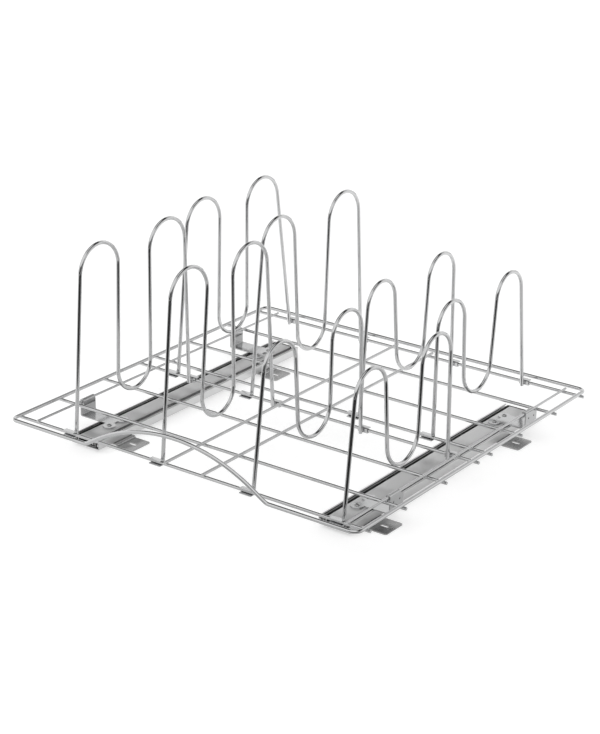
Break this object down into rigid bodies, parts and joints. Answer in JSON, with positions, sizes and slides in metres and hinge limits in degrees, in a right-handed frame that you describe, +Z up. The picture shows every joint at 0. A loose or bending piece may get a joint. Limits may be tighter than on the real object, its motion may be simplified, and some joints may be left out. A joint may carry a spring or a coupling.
{
  "type": "sliding pot organizer",
  "caption": "Chromed wire tray on full-extension ball-bearing floor slides, with clip-on wire dividers that hold pots and pans upright in a base cabinet.",
  "frame": {"origin": "on the cabinet floor, below the middle of the tray's rim, with the tray pushed in", "axes": "+Z up, +Y to the back of the cabinet, +X to the right as seen from the front; the tray pulls out along -Y"},
  "size_m": [0.537, 0.538, 0.271],
  "materials": {
    "chrome_wire": "bright plated wire",
    "chrome_sheet": "bright plated sheet",
    "plated_sheet": "zinc-plated cold-rolled sheet",
    "cage_steel": "plain pressed sheet",
    "ball_steel": "polished",
    "rivet_steel": "plated",
    "bumper_rubber": "moulded"
  },
  "bodies": {
    "root": {"outer_member_left": "plated_sheet", "outer_member_right": "plated_sheet", "mounting_strap_front_left": "plated_sheet", "mounting_strap_front_right": "plated_sheet", "mounting_strap_rear_left": "plated_sheet", "mounting_strap_rear_right": "plated_sheet", "strap_rivets": "rivet_steel", "rear_bumpers": "bumper_rubber"},
    "tray": {"perimeter_wire": "chrome_wire", "cross_wire_1": "chrome_wire", "cross_wire_2": "chrome_wire", "cross_wire_3": "chrome_wire", "cross_wire_4": "chrome_wire", "cross_wire_5": "chrome_wire", "cross_wire_6": "chrome_wire", "cross_wire_7": "chrome_wire", "cross_wire_8": "chrome_wire", "side_stringer_left": "chrome_wire", "side_stringer_right": "chrome_wire", "centre_stringer_left": "chrome_wire", "centre_stringer_right": "chrome_wire", "support_bracket_front_left": "chrome_sheet", "support_bracket_front_right": "chrome_sheet", "support_bracket_rear_left": "chrome_sheet", "support_bracket_rear_right": "chrome_sheet", "bracket_rivets": "rivet_steel", "inner_member_left": "plated_sheet", "inner_member_right": "plated_sheet"},
    "intermediate_left": {"intermediate_member_left": "plated_sheet"},
    "outer_cage_left": {"outer_ball_cage_left": "cage_steel", "outer_balls_left": "ball_steel"},
    "inner_cage_left": {"inner_ball_cage_left": "cage_steel", "inner_balls_left": "ball_steel"},
    "intermediate_right": {"intermediate_member_right": "plated_sheet"},
    "outer_cage_right": {"outer_ball_cage_right": "cage_steel", "outer_balls_right": "ball_steel"},
    "inner_cage_right": {"inner_ball_cage_right": "cage_steel", "inner_balls_right": "ball_steel"},
    "tall_divider_1": {"tall_divider_1": "chrome_wire", "tall_divider_1_clips": "chrome_sheet"},
    "tall_divider_2": {"tall_divider_2": "chrome_wire", "tall_divider_2_clips": "chrome_sheet"},
    "tall_divider_3": {"tall_divider_3": "chrome_wire", "tall_divider_3_clips": "chrome_sheet"},
    "tall_divider_4": {"tall_divider_4": "chrome_wire", "tall_divider_4_clips": "chrome_sheet"},
    "short_divider_1": {"short_divider_1": "chrome_wire", "short_divider_1_clips": "chrome_sheet"},
    "short_divider_2": {"short_divider_2": "chrome_wire", "short_divider_2_clips": "chrome_sheet"},
    "short_divider_3": {"short_divider_3": "chrome_wire", "short_divider_3_clips": "chrome_sheet"},
    "short_divider_4": {"short_divider_4": "chrome_wire", "short_divider_4_clips": "chrome_sheet"}
  },
  "joints": [
    {"name": "tray_slide", "type": "slide", "parent": "root", "child": "tray", "axis": [0, -1, 0], "range_m": [0, 0.4]},
    {"name": "intermediate_left_slide", "type": "slide", "parent": "root", "child": "intermediate_left", "axis": [0, -1, 0], "range_m": [0, 0.2]},
    {"name": "outer_cage_left_slide", "type": "slide", "parent": "root", "child": "outer_cage_left", "axis": [0, -1, 0], "range_m": [0, 0.1]},
    {"name": "inner_cage_left_slide", "type": "slide", "parent": "root", "child": "inner_cage_left", "axis": [0, -1, 0], "range_m": [0, 0.3]},
    {"name": "intermediate_right_slide", "type": "slide", "parent": "root", "child": "intermediate_right", "axis": [0, -1, 0], "range_m": [0, 0.2]},
    {"name": "outer_cage_right_slide", "type": "slide", "parent": "root", "child": "outer_cage_right", "axis": [0, -1, 0], "range_m": [0, 0.1]},
    {"name": "inner_cage_right_slide", "type": "slide", "parent": "root", "child": "inner_cage_right", "axis": [0, -1, 0], "range_m": [0, 0.3]},
    {"name": "tall_divider_1_slide", "type": "slide", "parent": "tray", "child": "tall_divider_1", "axis": [1, 0, 0], "range_m": [-0.008, 0.034]},
    {"name": "tall_divider_2_slide", "type": "slide", "parent": "tray", "child": "tall_divider_2", "axis": [1, 0, 0], "range_m": [-0.006, 0.008]},
    {"name": "tall_divider_3_slide", "type": "slide", "parent": "tray", "child": "tall_divider_3", "axis": [1, 0, 0], "range_m": [-0.017, 0]},
    {"name": "tall_divider_4_slide", "type": "slide", "parent": "tray", "child": "tall_divider_4", "axis": [1, 0, 0], "range_m": [-0.034, 0.014]},
    {"name": "short_divider_1_slide", "type": "slide", "parent": "tray", "child": "short_divider_1", "axis": [1, 0, 0], "range_m": [-0.045, 0.05]},
    {"name": "short_divider_2_slide", "type": "slide", "parent": "tray", "child": "short_divider_2", "axis": [1, 0, 0], "range_m": [-0.016, 0.042]},
    {"name": "short_divider_3_slide", "type": "slide", "parent": "tray", "child": "short_divider_3", "axis": [1, 0, 0], "range_m": [-0.05, 0]},
    {"name": "short_divider_4_slide", "type": "slide", "parent": "tray", "child": "short_divider_4", "axis": [1, 0, 0], "range_m": [-0.045, 0.045]}
  ],
  "couplings": [
    {"joint": "intermediate_left_slide", "follows": "tray_slide", "ratio": 0.5},
    {"joint": "outer_cage_left_slide", "follows": "tray_slide", "ratio": 0.25},
    {"joint": "inner_cage_left_slide", "follows": "tray_slide", "ratio": 0.75},
    {"joint": "intermediate_right_slide", "follows": "tray_slide", "ratio": 0.5},
    {"joint": "outer_cage_right_slide", "follows": "tray_slide", "ratio": 0.25},
    {"joint": "inner_cage_right_slide", "follows": "tray_slide", "ratio": 0.75}
  ]
}
